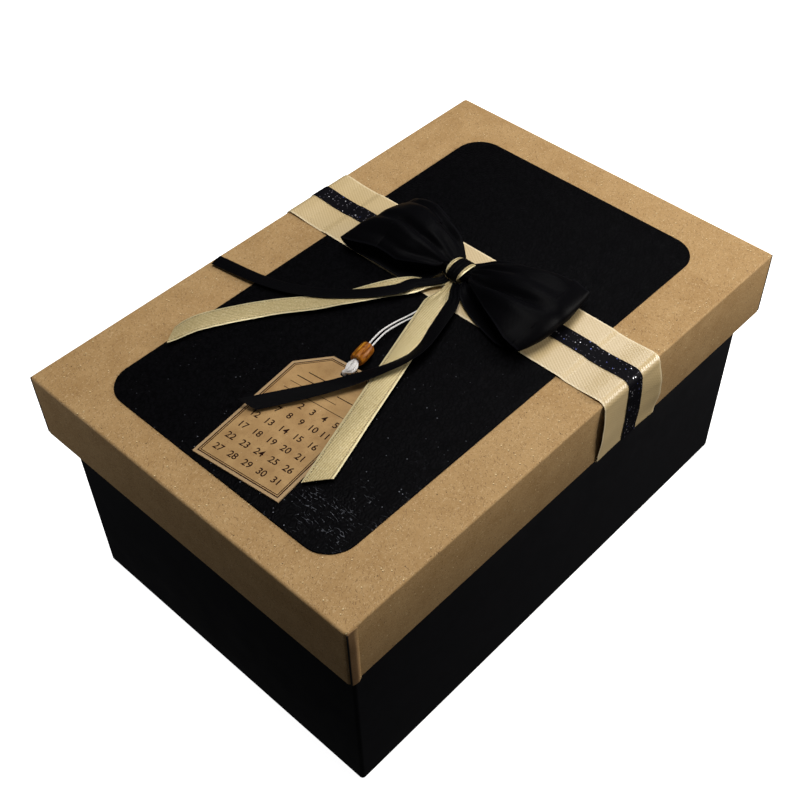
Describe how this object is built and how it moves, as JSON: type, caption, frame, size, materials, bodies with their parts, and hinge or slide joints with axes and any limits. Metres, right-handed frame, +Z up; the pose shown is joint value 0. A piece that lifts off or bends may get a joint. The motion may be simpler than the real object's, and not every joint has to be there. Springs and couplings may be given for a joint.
{
  "type": "gift box",
  "caption": "Rigid gift box with a lift-off kraft lid, a leather-look panel, satin bands, a bow with loose ribbon tails and a card tag on a beaded cord.",
  "frame": {"origin": "centre of the base's flat underside", "axes": "+Z up, +X along the box's long side towards the bow's end, +Y across it"},
  "size_m": [0.28, 0.1916, 0.1477],
  "materials": {
    "kraft_paper": "matte kraft covering paper with short dark fibres",
    "black_paper": "smooth black covering paper",
    "greyboard": "uncoated greyboard",
    "stay_paper": "gummed paper",
    "liner_paper": "white lining paper",
    "leatherette": "black embossed leather-look paper, satin",
    "cream_satin": "cream satin ribbon with fine selvedges",
    "black_glitter_ribbon": "black ribbon with glitter specks",
    "black_satin": "soft black satin ribbon",
    "gold_satin": "pale gold ribbon with metallic threads",
    "tag_card": "printed kraft card",
    "cord": "silvery white twisted cord",
    "bead_wood": "varnished orange-brown wood",
    "glue": "set hot-melt glue"
  },
  "bodies": {
    "box_base": {"base_board": "greyboard", "base_wrap": "black_paper", "base_liner": "liner_paper", "base_corner_stay_front_left": "stay_paper", "base_corner_stay_front_right": "stay_paper", "base_corner_stay_back_left": "stay_paper", "base_corner_stay_back_right": "stay_paper"},
    "lid": {"lid_board": "greyboard", "lid_wrap": "kraft_paper", "lid_liner": "liner_paper", "lid_panel": "leatherette", "lid_corner_stay_front_left": "stay_paper", "lid_corner_stay_front_right": "stay_paper", "lid_corner_stay_back_left": "stay_paper", "lid_corner_stay_back_right": "stay_paper", "band_wide": "cream_satin", "band_narrow": "black_glitter_ribbon", "bow": "black_satin", "bow_glue_pad": "glue", "gold_knot_wrap": "gold_satin", "black_knot_wrap": "black_satin"},
    "tag_line": {"cord_strand_left": "cord", "cord_strand_right": "cord", "cord_hitch": "cord"},
    "bead": {"bead": "bead_wood"},
    "tag": {"tag": "tag_card"},
    "gold_front": {"gold_tail_front": "gold_satin"},
    "black_front": {"black_tail_front": "black_satin"},
    "gold_left": {"gold_tail_left": "gold_satin"},
    "black_left": {"black_tail_left": "black_satin"}
  },
  "joints": [
    {"name": "lid_lift", "type": "slide", "parent": "box_base", "child": "lid", "axis": [0, 0, 1], "range_m": [0, 0.08]},
    {"name": "cord_lift", "type": "hinge", "parent": "lid", "child": "tag_line", "pos_m": [0.0185, -0.0024, 0.13405], "axis": [-0.02, 0.9998, 0], "range_deg": [0, 25]},
    {"name": "bead_slide", "type": "slide", "parent": "tag_line", "child": "bead", "axis": [0.9823, 0.1874, 0], "range_m": [0, 0.008]},
    {"name": "tag_swivel", "type": "hinge", "parent": "tag_line", "child": "tag", "pos_m": [-0.0497, -0.0039, 0.1332], "axis": [0, 0, 1], "range_deg": [-15, 15]},
    {"name": "gold_tail_front_lift", "type": "hinge", "parent": "tag_line", "child": "gold_front", "pos_m": [0.0185, -0.0015, 0.135], "axis": [-0.3379, 0.9412, 0], "range_deg": [0, 20]},
    {"name": "black_tail_front_lift", "type": "hinge", "parent": "gold_front", "child": "black_front", "pos_m": [0.0185, -0.0056, 0.136], "axis": [-0.1961, 0.9806, 0], "range_deg": [0, 12]},
    {"name": "gold_tail_left_lift", "type": "hinge", "parent": "lid", "child": "gold_left", "pos_m": [0.0185, 0.0045, 0.135], "axis": [0.5812, 0.8137, 0], "range_deg": [0, 18]},
    {"name": "black_tail_left_lift", "type": "hinge", "parent": "gold_left", "child": "black_left", "pos_m": [0.0185, 0.0045, 0.1359], "axis": [0.8321, 0.5547, 0], "range_deg": [0, 12]}
  ]
}
